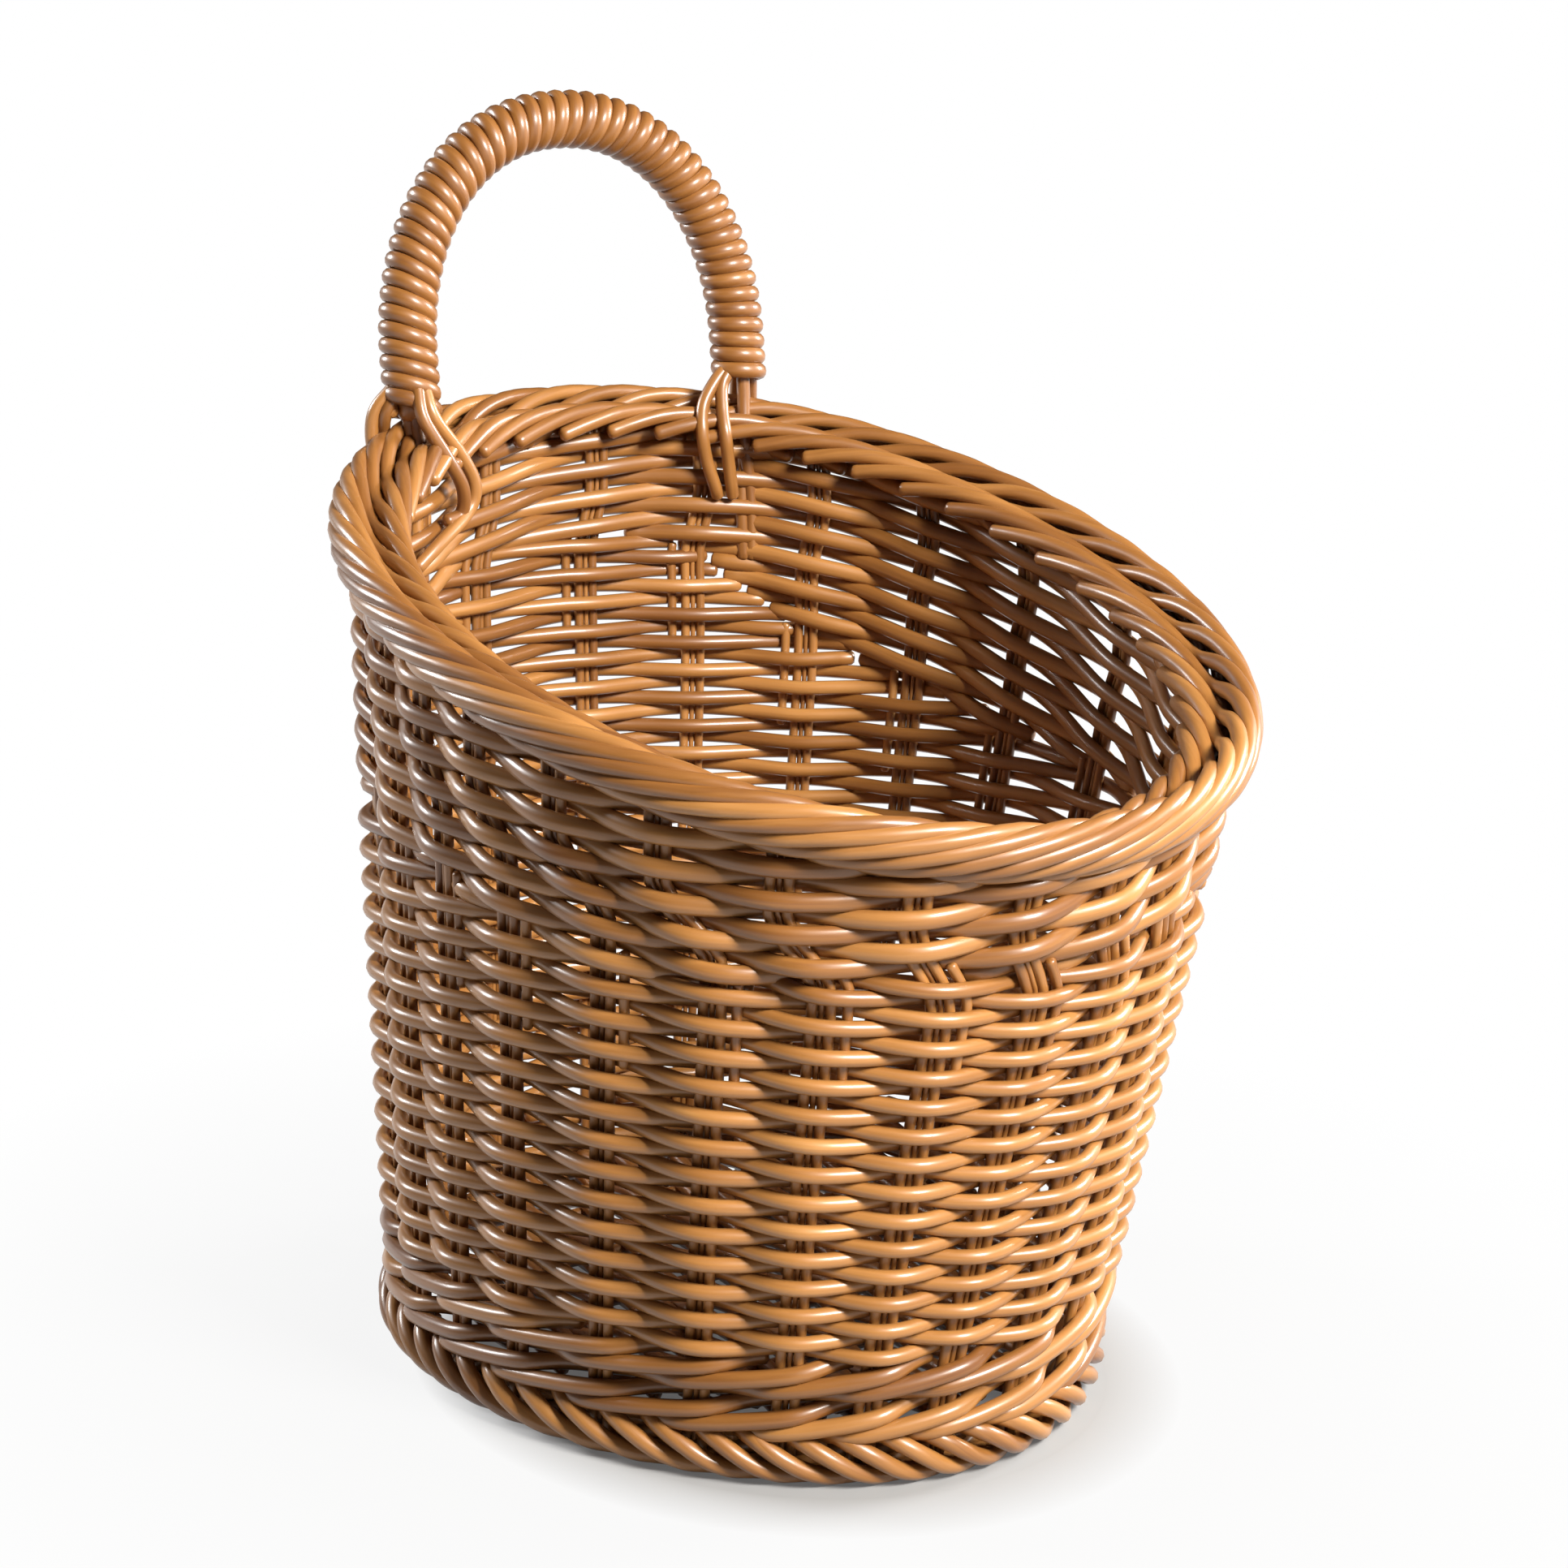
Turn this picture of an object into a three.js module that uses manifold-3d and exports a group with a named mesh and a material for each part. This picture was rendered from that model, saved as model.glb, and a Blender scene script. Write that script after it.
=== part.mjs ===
// Wall basket woven from round strands, with a wrapped loop handle standing on its back rim.
// Millimetres, +Z up, the front towards -Y and the upright back towards +Y.
// Every wall piece is placed in wall coordinates: a station round the plan, a distance along the
// wall from it, an offset out of the wall's middle surface, and a height.
import * as THREE from "three";
import { mergeVertices } from "three/addons/utils/BufferGeometryUtils.js";
import Module from "manifold-3d";

const wasm = await Module();
wasm.setup();

// Driving dimensions: the plan at the floor and at the mouth level, on the wall's middle surface
const baseHalfWidth = 97;
const baseFrontReach = 120;
const backReach = 109;
const baseFlatness = 5.5;
const baseTaper = 3;
const mouthLevel = 200;
const mouthHalfWidth = 115;
const mouthFrontReach = 164;
const mouthFlatness = 1.2;
const mouthTaper = 0;

// Heights of the sloping rim at the front, at the sides and at the back
const rimFrontHeight = 187;
const rimSideHeight = 232.5;
const rimBackHeight = 272;

// Strands and stakes
const seatGap = 0.3;
const strandDiameter = 4.2;
const stakeCount = 25;
const stakeDiameter = 2.8;
const stakePairPitch = 5.4;
const stakeSides = 6;
const stakeTopPlay = 0.5;

// Woven bands: how far they stand out at a stake and between two stakes
const weaveCrest = 5.6;
const weaveHollow = 4.2;
const waleCrest = 6.5;
const waleHollow = 5.7;
const stepsPerStake = 4;

// Foot border, the wale above it, and how far below the rim the level rows meet the sloping ones
const footHalfWidth = 7;
const footHalfHeight = 8;
const footFlatCut = 1.2;
const footTurns = 9;
const waleHeight = 22;
const jointDepthEnds = 43;
const jointDepthSides = 71;
const jointPlay = 0.45;

// Rolled top border
const borderHalfWidth = 10.5;
const borderHalfHeight = 6.5;
const borderOffset = 3;
const borderRise = 2.5;
const borderTilt = THREE.MathUtils.degToRad(20);
const borderTurns = 11;
const ropeLobes = 4;
const ropeLobeShare = 0.07;

// Base panel and the sticks inside it
const baseThickness = 8;
const baseStickDiameter = 4;
const baseStickCount = 7;
const baseStickSides = 8;
const baseStickSpanShare = 0.86;
const baseOutlineSteps = 60;
const baseLift = 1;

// Handle
const handleStakeGap = 10;
const handleGapShare = 0.58;
const handleSpringHeight = 21.5;
const handleArchHeight = 72.3;
const handleArchPower = 2.11;
const handleLean = THREE.MathUtils.degToRad(6.6);
const bowDiameter = 9.4;
const bowTipDiameter = 5;
const bowTipDepth = 48;
const bowTaperLength = 30;
const bowSteps = 44;
const bowSides = 8;
const archSteps = 16;
const wrapTurns = 24;
const wrapStepsPerTurn = 24;
const wrapSides = 6;
const wrapTurnGap = 1;

// Lashing strands at the handle's feet
const lashingPlay = 0.5;
const lashingTail = 12;
const lashingSplay = 5;
const lashingSides = 6;
const lashingSteps = 12;
const lashingOuterDegrees = [52, 20, -15, -50];
const lashingInnerDegrees = [148, 175, 200, 222];

// One overrun serves every cut
const cutOverrun = 2;

const strandRadius = strandDiameter / 2;
const stakeRadius = stakeDiameter / 2;
const bowRadius = bowDiameter / 2;
const footTop = 2 * footHalfHeight - footFlatCut;
const waleBottom = footTop + footHalfHeight * ropeLobeShare + seatGap;
const stakeFoot = waleBottom + stakeRadius;
const waleTop = waleBottom + waleHeight;

// The plan curve: x = w sin t + k sin 2t, y = back - r (1 + cos t) + f (1 - cos 2t), t = 0 in front
function planLevel(halfWidth, frontReach, flatness, taper) {
  return { halfWidth, reach: (frontReach + backReach) / 2, flatness, taper };
}

const baseLevel = planLevel(baseHalfWidth, baseFrontReach, baseFlatness, -baseTaper);
const topLevel = planLevel(mouthHalfWidth, mouthFrontReach, mouthFlatness, -mouthTaper);

function planFrame(level, t) {
  const x = level.halfWidth * Math.sin(t) + level.taper * Math.sin(2 * t);
  const y = backReach - level.reach * (1 + Math.cos(t)) + level.flatness * (1 - Math.cos(2 * t));
  const dx = level.halfWidth * Math.cos(t) + 2 * level.taper * Math.cos(2 * t);
  const dy = level.reach * Math.sin(t) + 2 * level.flatness * Math.sin(2 * t);
  const length = Math.hypot(dx, dy);
  return { x, y, tangentX: dx / length, tangentY: dy / length, speed: length };
}

function planPoint(level, t, along, offset) {
  const frame = planFrame(level, t);
  return new THREE.Vector2(
    frame.x + along * frame.tangentX + offset * frame.tangentY,
    frame.y + along * frame.tangentY - offset * frame.tangentX,
  );
}

// A point of the wall: its two plan points joined by a straight line through the height
function wallPoint(t, along, offset, height) {
  const low = planPoint(baseLevel, t, along, offset);
  const high = planPoint(topLevel, t, along, offset);
  const point = low.lerp(high, height / mouthLevel);
  return new THREE.Vector3(point.x, point.y, height);
}

function rimHeight(t) {
  const ends = (rimFrontHeight + rimBackHeight) / 2;
  const mean = (ends + rimSideHeight) / 2;
  const slope = (rimBackHeight - rimFrontHeight) / 2;
  return mean - slope * Math.cos(t) + (ends - mean) * Math.cos(2 * t);
}

function rimPoint(t, along, offset, rise) {
  return wallPoint(t, along, offset, rimHeight(t) + rise);
}

// The station a short distance along the wall from another one
function stationBeside(t, along) {
  return t + along / planFrame(topLevel, t).speed;
}

// Stations a given share of the way round the plan, measured along the wall at half height
const arcTable = (() => {
  const samples = 720;
  const table = [0];
  for (let i = 0; i < samples; i += 1) {
    const t = (2 * Math.PI * (i + 0.5)) / samples;
    const speed = (planFrame(baseLevel, t).speed + planFrame(topLevel, t).speed) / 2;
    table.push(table[i] + speed);
  }
  return table.map((length) => length / table[samples]);
})();

function station(share) {
  const whole = Math.floor(share);
  const part = share - whole;
  let i = 1;
  while (arcTable[i] < part) {
    i += 1;
  }
  const within = (part - arcTable[i - 1]) / (arcTable[i] - arcTable[i - 1]);
  return 2 * Math.PI * (whole + (i - 1 + within) / (arcTable.length - 1));
}

// Closed solids from rings of points, one ring to the next; open runs get flat ends
function ringSolid(rings, closed) {
  const sides = rings[0].length;
  const positions = rings.flat().flatMap((point) => [point.x, point.y, point.z]);
  const triangles = [];
  const runs = closed ? rings.length : rings.length - 1;
  for (let k = 0; k < runs; k += 1) {
    const here = k * sides;
    const next = ((k + 1) % rings.length) * sides;
    for (let j = 0; j < sides; j += 1) {
      const j1 = (j + 1) % sides;
      triangles.push(here + j, here + j1, next + j1, here + j, next + j1, next + j);
    }
  }
  if (!closed) {
    const last = (rings.length - 1) * sides;
    for (let j = 1; j < sides - 1; j += 1) {
      triangles.push(0, j + 1, j, last, last + j, last + j + 1);
    }
  }
  return outward(indexedGeometry(positions, triangles));
}

function indexedGeometry(positions, triangles) {
  const geometry = new THREE.BufferGeometry();
  geometry.setAttribute("position", new THREE.Float32BufferAttribute(positions, 3));
  geometry.setIndex(triangles);
  return geometry;
}

function signedVolume(geometry) {
  const position = geometry.getAttribute("position");
  const index = geometry.getIndex();
  const corners = [new THREE.Vector3(), new THREE.Vector3(), new THREE.Vector3()];
  let volume = 0;
  for (let i = 0; i < index.count; i += 3) {
    corners.forEach((corner, j) => corner.fromBufferAttribute(position, index.getX(i + j)));
    volume += corners[0].dot(corners[1].cross(corners[2])) / 6;
  }
  return volume;
}

// Turns a closed geometry's faces outward
function outward(geometry) {
  if (signedVolume(geometry) < 0) {
    const index = Array.from(geometry.getIndex().array);
    for (let i = 0; i < index.length; i += 3) {
      [index[i + 1], index[i + 2]] = [index[i + 2], index[i + 1]];
    }
    geometry.setIndex(index);
  }
  return geometry;
}

function toSolid(geometry) {
  const clean = geometry.clone();
  clean.deleteAttribute("normal");
  clean.deleteAttribute("uv");
  const merged = mergeVertices(clean);
  return new wasm.Manifold(new wasm.Mesh({
    numProp: 3,
    vertProperties: new Float32Array(merged.getAttribute("position").array),
    triVerts: new Uint32Array(merged.getIndex().array),
  }));
}

function toGeometry(solid) {
  const mesh = solid.getMesh();
  return indexedGeometry(Array.from(mesh.vertProperties), Array.from(mesh.triVerts));
}

function cut(geometry, tools) {
  const solid = tools.reduce((body, tool) => body.subtract(toSolid(tool)), toSolid(geometry));
  return toGeometry(solid);
}

// A strand: a round section carried along a list of points, square to the path at each
function strand(points, radiusAt, sides, closed = false) {
  const count = points.length;
  const guide = new THREE.Vector3();
  const rings = points.map((point, i) => {
    const before = points[closed ? (i + count - 1) % count : Math.max(i - 1, 0)];
    const after = points[closed ? (i + 1) % count : Math.min(i + 1, count - 1)];
    const tangent = after.clone().sub(before).normalize();
    if (i === 0) {
      guide.set(-tangent.y, tangent.x, 0);
      if (guide.lengthSq() === 0) {
        guide.set(1, 0, 0);
      }
    }
    guide.addScaledVector(tangent, -guide.dot(tangent)).normalize();
    const side = tangent.clone().cross(guide);
    const ring = [];
    for (let j = 0; j < sides; j += 1) {
      const angle = (2 * Math.PI * j) / sides;
      ring.push(point.clone()
        .addScaledVector(guide, radiusAt(i) * Math.cos(angle))
        .addScaledVector(side, radiusAt(i) * Math.sin(angle)));
    }
    return ring;
  });
  return ringSolid(rings, closed);
}

// A rolled border: a lobed oval section that turns one corner at each step round the plan, so
// that its ridges run aslant like the strands of a rope
function ropeRing({ turns, halfWidth, halfHeight, tilt, hand, place }) {
  const sides = 2 * ropeLobes;
  const steps = sides * turns;
  const rings = [];
  for (let k = 0; k < steps; k += 1) {
    const t = station(k / steps);
    const ring = [];
    for (let j = 0; j < sides; j += 1) {
      const angle = (2 * Math.PI * (j + hand * k)) / sides;
      const lobe = 1 + (j % 2 === 0 ? ropeLobeShare : -ropeLobeShare);
      const across = halfWidth * lobe * Math.cos(angle);
      const up = halfHeight * lobe * Math.sin(angle);
      const offset = across * Math.cos(tilt) + up * Math.sin(tilt);
      const rise = up * Math.cos(tilt) - across * Math.sin(tilt);
      ring.push(place(t, offset, rise));
    }
    rings.push(ring);
  }
  return ringSolid(rings, true);
}

// A woven band: a wall whose faces swell at each stake pair, with a slot through it for each
// pair, between a lower and an upper edge given over the station and the offset
function wovenBand({ crest, hollow, low, high }) {
  const count = stakeCount * stepsPerStake;
  const face = (sign) => Array.from({ length: count }, (_, i) => {
    const swell = (1 + Math.cos((2 * Math.PI * i) / stepsPerStake)) / 2;
    return { t: station(i / count), along: 0, offset: sign * (hollow + (crest - hollow) * swell) };
  });
  const slots = stakeStations().map((t) => slotCorners().map(([along, offset]) => ({ t, along, offset })));
  const corners = [...face(1), ...face(-1), ...slots.flat()];
  const outer = corners.slice(0, count).map((_, i) => i);
  const inner = outer.map((i) => count + i);
  const slotLoops = slots.map((slot, k) => slot.map((_, i) => 2 * count + slot.length * k + i));
  const faces = slotLoops.flatMap((slot, k) => cellFaces(corners, outer, inner, slot, k));
  return ruledPrism(corners, faces, [outer, [...inner].reverse(), ...slotLoops], low, high);
}

// Faces over one stake's share of a band: its piece of both edges round the slot
function cellFaces(corners, outer, inner, slot, index) {
  const half = stepsPerStake / 2;
  const reach = Array.from({ length: stepsPerStake + 1 }, (_, i) => {
    return (index * stepsPerStake + i - half + outer.length) % outer.length;
  });
  const outline = [...reach.map((i) => outer[i]), ...reach.map((i) => inner[i]).reverse()];
  const flat = (i) => {
    const corner = corners[i];
    return planPoint(topLevel, corner.t, corner.along, corner.offset);
  };
  const order = [...outline, ...slot];
  const faces = THREE.ShapeUtils.triangulateShape(outline.map(flat), [slot.map(flat)]);
  return faces.map((face) => face.map((i) => order[i]));
}

function slotCorners() {
  const clear = stakeRadius + seatGap;
  const shoulder = stakePairPitch / 2 + (Math.SQRT2 - 1) * clear;
  const end = stakePairPitch / 2 + Math.SQRT2 * clear;
  const half = [[end, 0], [shoulder, clear], [-shoulder, clear]];
  return [...half, ...half.map(([along, offset]) => [-along, -offset])];
}

function stakeStations() {
  return Array.from({ length: stakeCount }, (_, i) => station(i / stakeCount));
}

// A prism of straight wall lines between two faces; each loop of corners makes one side wall
function ruledPrism(corners, faces, loops, low, high) {
  const level = (edge) => corners.map(({ t, along, offset }) => {
    return wallPoint(t, along, offset, edge(stationBeside(t, along), offset));
  });
  const positions = [...level(low), ...level(high)].flatMap((point) => [point.x, point.y, point.z]);
  const total = corners.length;
  const triangles = [];
  faces.forEach(([a, b, c]) => {
    triangles.push(c, b, a, a + total, b + total, c + total);
  });
  loops.forEach((loop) => loop.forEach((a, i) => {
    const b = loop[(i + 1) % loop.length];
    triangles.push(a, b, b + total, a, b + total, a + total);
  }));
  return outward(indexedGeometry(positions, triangles));
}

// Heights of the joints between the bands
function borderUnderside(t, offset) {
  const drop = (borderHalfHeight * (1 + ropeLobeShare) + seatGap) / Math.cos(borderTilt);
  return rimHeight(t) + borderRise - drop - Math.tan(borderTilt) * (offset - borderOffset);
}

function bandJoint(t) {
  const depth = jointDepthEnds + (jointDepthSides - jointDepthEnds) * Math.sin(t) ** 2;
  return rimHeight(t) - depth;
}

// Foot border, cut flat underneath so that the basket stands on it
function footBorder() {
  const centre = footHalfHeight - footFlatCut;
  const ring = ropeRing({
    turns: footTurns,
    halfWidth: footHalfWidth,
    halfHeight: footHalfHeight,
    tilt: 0,
    hand: -1,
    place: (t, offset, rise) => wallPoint(t, 0, offset, centre + rise),
  });
  const reach = 2 * (mouthFrontReach + backReach);
  const slabHeight = footFlatCut + footHalfHeight;
  const slab = new THREE.BoxGeometry(reach, reach, slabHeight);
  slab.translate(0, 0, -slabHeight / 2);
  return cut(ring, [slab]);
}

function topBorder(channels) {
  const ring = ropeRing({
    turns: borderTurns,
    halfWidth: borderHalfWidth,
    halfHeight: borderHalfHeight,
    tilt: borderTilt,
    hand: 1,
    place: (t, offset, rise) => rimPoint(t, 0, borderOffset + offset, borderRise + rise),
  });
  return cut(ring, channels);
}

// A stake pair is one hairpin: two legs side by side, joined inside the wale's slot
function stakeHairpin(t) {
  const half = stakePairPitch / 2;
  const legs = [[-half, 0, 1], [-half, 1, 1], [half, -1, -1], [half, 0, -1]];
  const rings = legs.map(([along, mitre, turn]) => {
    const ring = [];
    for (let j = 0; j < stakeSides; j += 1) {
      const angle = (2 * Math.PI * j) / stakeSides;
      const offset = stakeRadius * Math.cos(angle);
      const across = stakeRadius * Math.sin(angle) * turn;
      const top = borderUnderside(stationBeside(t, along + across), offset) - stakeTopPlay;
      ring.push(wallPoint(t, along + across, offset, mitre === 0 ? top : stakeFoot + mitre * across));
    }
    return ring;
  });
  return ringSolid(rings, false);
}

// Base panel: an oval plate inside the wale with a channel for each cross stick
const baseBottom = footTop + baseLift;
const baseOffset = -(waleCrest + seatGap);

function baseOutline() {
  const ring = [];
  for (let i = 0; i < baseOutlineSteps; i += 1) {
    const point = wallPoint(station(i / baseOutlineSteps), 0, baseOffset, baseBottom);
    ring.push(new THREE.Vector2(point.x, point.y));
  }
  return ring;
}

function basePanel() {
  const plate = new THREE.ExtrudeGeometry(new THREE.Shape(baseOutline()), {
    depth: baseThickness,
    bevelEnabled: false,
  });
  plate.translate(0, 0, baseBottom);
  const reach = 2 * (baseHalfWidth + cutOverrun);
  const channels = baseStickPlaces().map((y) => crossRod(y, baseStickDiameter / 2 + seatGap, reach));
  return cut(plate, channels);
}

function baseStickPlaces() {
  const span = (baseFrontReach + backReach) * baseStickSpanShare;
  const middle = (backReach - baseFrontReach) / 2;
  const last = baseStickCount - 1;
  return Array.from({ length: baseStickCount }, (_, i) => middle + span * (i / last - 0.5));
}

function crossRod(y, radius, length) {
  const rod = new THREE.CylinderGeometry(radius, radius, length, baseStickSides);
  rod.rotateZ(Math.PI / 2);
  rod.translate(0, y, baseBottom + baseThickness / 2);
  return rod;
}

// Half the panel's width at a place along its length, from the outline's own points
function panelHalfWidth(y) {
  const right = baseOutline().filter((point) => point.x > 0).sort((a, b) => a.y - b.y);
  const above = right.findIndex((point) => point.y > y);
  const a = right[above - 1];
  const b = right[above];
  return a.x + ((y - a.y) / (b.y - a.y)) * (b.x - a.x);
}

function baseStick(y) {
  return crossRod(y, baseStickDiameter / 2, 2 * panelHalfWidth(y) - 3 * baseStickDiameter);
}

// Handle bow: it rises out of the wall at each foot, then follows an upright arch that leans back.
// Each foot stands in the gap between two stake pairs.
const handleStation = station((handleStakeGap + handleGapShare) / stakeCount);
const handleHalfWidth = rimPoint(handleStation, 0, 0, 0).x;

function handlePoint(across, up) {
  const foot = rimPoint(handleStation, 0, borderOffset, borderRise);
  return new THREE.Vector3(across, foot.y + up * Math.sin(handleLean), foot.z + up * Math.cos(handleLean));
}

function legPoints(side) {
  const t = side > 0 ? handleStation : 2 * Math.PI - handleStation;
  const below = borderHalfHeight + cutOverrun * 2;
  return [bowTipDepth, (bowTipDepth + below) / 2, below].map((depth) => rimPoint(t, 0, 0, -depth));
}

const bowCurve = (() => {
  const points = [...legPoints(-1)];
  points.push(handlePoint(-handleHalfWidth, 0));
  for (let i = 0; i <= archSteps; i += 1) {
    const angle = (Math.PI * i) / archSteps;
    const power = 2 / handleArchPower;
    const across = -handleHalfWidth * Math.sign(Math.cos(angle)) * Math.abs(Math.cos(angle)) ** power;
    const up = handleSpringHeight + handleArchHeight * Math.sin(angle) ** power;
    points.push(handlePoint(across, up));
  }
  points.push(handlePoint(handleHalfWidth, 0));
  points.push(...legPoints(1).reverse());
  return new THREE.CatmullRomCurve3(points, false, "centripetal");
})();
bowCurve.arcLengthDivisions = 1200;
const bowLength = bowCurve.getLength();

function bowRadiusAt(length) {
  const fromEnd = Math.min(length, bowLength - length);
  const share = THREE.MathUtils.smoothstep(fromEnd, bowTaperLength, bowTipDepth);
  return (bowTipDiameter + (bowDiameter - bowTipDiameter) * share) / 2;
}

function bowStrand(clearance) {
  const points = bowCurve.getSpacedPoints(bowSteps);
  points[0].addScaledVector(bowCurve.getTangentAt(0), -clearance);
  points[bowSteps].addScaledVector(bowCurve.getTangentAt(1), clearance);
  return strand(points, (i) => bowRadiusAt((bowLength * i) / bowSteps) + clearance, bowSides);
}

// The channels that the bow's two legs stand in, a running gap wider than the legs
function bowChannel() {
  const grow = seatGap / Math.cos(Math.PI / bowSides);
  return bowStrand(grow);
}

// Winding round the bow: one unbroken flat-oval strand, whose turns lie side by side. It starts
// above the border's crest, on the side where the rim rises.
const wrapRadius = bowRadius + seatGap + strandRadius;
const wrapReach = wrapRadius + strandRadius;
const borderCrest = (1 + ropeLobeShare) * Math.hypot(
  borderHalfWidth * Math.sin(borderTilt),
  borderHalfHeight * Math.cos(borderTilt),
);
const rimClimb = rimHeight(stationBeside(handleStation, wrapReach)) - rimHeight(handleStation);
const handleRimSlope = rimClimb / wrapReach;
const wrapStart = bowTipDepth + borderRise + borderCrest + rimClimb + seatGap;
const wrapRun = bowLength - 2 * wrapStart;
const wrapPitch = wrapRun / wrapTurns;

function handleWrap() {
  const steps = wrapTurns * wrapStepsPerTurn;
  const planeNormal = new THREE.Vector3(0, Math.cos(handleLean), -Math.sin(handleLean));
  const rings = [];
  for (let i = 0; i <= steps; i += 1) {
    const share = i / steps;
    const place = (wrapStart + wrapPitch / 2 + (wrapRun - wrapPitch) * share) / bowLength;
    const centre = bowCurve.getPointAt(place);
    const tangent = bowCurve.getTangentAt(place);
    const binormal = planeNormal.clone().addScaledVector(tangent, -planeNormal.dot(tangent)).normalize();
    const normal = tangent.clone().cross(binormal);
    const angle = 2 * Math.PI * wrapTurns * share;
    const radial = normal.multiplyScalar(Math.cos(angle)).addScaledVector(binormal, Math.sin(angle));
    const halfWidth = (wrapPitch * (1 - wrapRadius * radial.dot(bowBend(place))) - wrapTurnGap) / 2;
    const ring = [];
    for (let j = 0; j < wrapSides; j += 1) {
      const turn = (2 * Math.PI * j) / wrapSides;
      ring.push(centre.clone()
        .addScaledVector(radial, wrapRadius + strandRadius * Math.sin(turn))
        .addScaledVector(tangent, halfWidth * Math.cos(turn)));
    }
    rings.push(ring);
  }
  return { geometry: ringSolid(rings, false), rings };
}

// How sharply the bow bends at a place, towards the middle of the bend
function bowBend(place) {
  const reach = bowDiameter / bowLength;
  const before = bowCurve.getTangentAt(place - reach);
  const after = bowCurve.getTangentAt(place + reach);
  return after.sub(before).divideScalar(2 * bowDiameter);
}

// Least distance between the winding's points a turn apart
function leastTurnGap(rings) {
  let least = Infinity;
  rings.forEach((ring, i) => {
    const near = rings.slice(i + wrapStepsPerTurn - 1, i + wrapStepsPerTurn + 2).flat();
    ring.forEach((a) => near.forEach((b) => {
      least = Math.min(least, a.distanceTo(b));
    }));
  });
  return least;
}

// Lashing strands: from the foot of the winding over the border and down the wall's face
function borderPath(angle, clearance) {
  const across = borderHalfWidth * Math.cos(angle);
  const up = borderHalfHeight * Math.sin(angle);
  const normal = new THREE.Vector2(across / borderHalfWidth ** 2, up / borderHalfHeight ** 2).normalize();
  const x = across + normal.x * clearance;
  const z = up + normal.y * clearance;
  return [
    borderOffset + x * Math.cos(borderTilt) + z * Math.sin(borderTilt),
    borderRise + z * Math.cos(borderTilt) - x * Math.sin(borderTilt),
  ];
}

function lashing(side, outer, index) {
  const t = side > 0 ? handleStation : 2 * Math.PI - handleStation;
  const clearance = borderHalfWidth * ropeLobeShare + 2 * seatGap + strandRadius * (1 + handleRimSlope);
  const degrees = outer ? lashingOuterDegrees : lashingInnerDegrees;
  const face = (outer ? 1 : -1) * (weaveCrest + seatGap + strandRadius);
  const shape = degrees.map((angle) => borderPath(THREE.MathUtils.degToRad(angle), clearance));
  const knee = shape[shape.length - 1][1] - strandDiameter;
  shape.push([face, knee], [face, knee - lashingTail]);
  const points = shape.map(([offset, rise], i) => {
    const spread = strandDiameter + lashingPlay + (lashingSplay * i) / (shape.length - 1);
    return rimPoint(t, (index - 0.5) * spread, offset, rise);
  });
  const curve = new THREE.CatmullRomCurve3(points, false, "centripetal");
  return strand(curve.getSpacedPoints(lashingSteps), () => strandRadius, lashingSides);
}

// Assembly
const basket = new THREE.Group();

function finish(color, roughness) {
  return new THREE.MeshStandardMaterial({ color, roughness, metalness: 0 });
}

const finishes = {
  weave: finish(0xb9803f, 0.42),
  border: finish(0xcf9d5f, 0.4),
  stake: finish(0xc08a4a, 0.42),
  handle: finish(0xc48c4c, 0.38),
};

function addPiece(name, geometry, material) {
  const mesh = new THREE.Mesh(geometry, material);
  mesh.name = name;
  basket.add(mesh);
}

function numbered(name, index) {
  return `${name}_${String(index + 1).padStart(2, "0")}`;
}

const channel = bowChannel();
addPiece("foot_border", footBorder(), finishes.border);
addPiece("base_panel", basePanel(), finishes.weave);
baseStickPlaces().forEach((y, i) => addPiece(numbered("base_stick", i), baseStick(y), finishes.stake));
addPiece("base_wale", wovenBand({
  crest: waleCrest,
  hollow: waleHollow,
  low: () => waleBottom,
  high: () => waleTop,
}), finishes.weave);
const sideWeave = wovenBand({
  crest: weaveCrest,
  hollow: weaveHollow,
  low: () => waleTop + seatGap,
  high: bandJoint,
});
// Legs long enough to pass the joint stand in channels of the side weave too
const legsPassJoint = bowTipDepth + seatGap > rimHeight(handleStation) - bandJoint(handleStation);
addPiece("side_weave", legsPassJoint ? cut(sideWeave, [channel]) : sideWeave, finishes.weave);
addPiece("sloping_weave", cut(wovenBand({
  crest: weaveCrest,
  hollow: weaveHollow,
  low: (t) => bandJoint(t) + jointPlay,
  high: borderUnderside,
}), [channel]), finishes.weave);
stakeStations().forEach((t, i) => addPiece(numbered("stake_pair", i), stakeHairpin(t), finishes.stake));
addPiece("top_border", topBorder([channel]), finishes.border);

addPiece("handle_bow", bowStrand(0), finishes.handle);
const wrap = handleWrap();
console.log(`least gap between the winding's turns: ${leastTurnGap(wrap.rings).toFixed(2)} mm`);
addPiece("handle_wrap", wrap.geometry, finishes.handle);
[["left", -1], ["right", 1]].forEach(([name, side]) => {
  [["outer", true], ["inner", false]].forEach(([face, outer]) => {
    [0, 1].forEach((index) => {
      addPiece(numbered(`lashing_${name}_${face}`, index), lashing(side, outer, index), finishes.handle);
    });
  });
});

// The origin is the middle of the underside of the whole basket's box
const bounds = new THREE.Box3().setFromObject(basket);
basket.position.set(-(bounds.min.x + bounds.max.x) / 2, -(bounds.min.y + bounds.max.y) / 2, -bounds.min.z);

export default basket;
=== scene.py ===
# %% [markdown]
# # A wall basket woven from round strands
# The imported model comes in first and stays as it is. It has a closed wall where the real basket
# has a weave, so nearly every piece here is a woven one that stands in the same place.

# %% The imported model
import math

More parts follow.
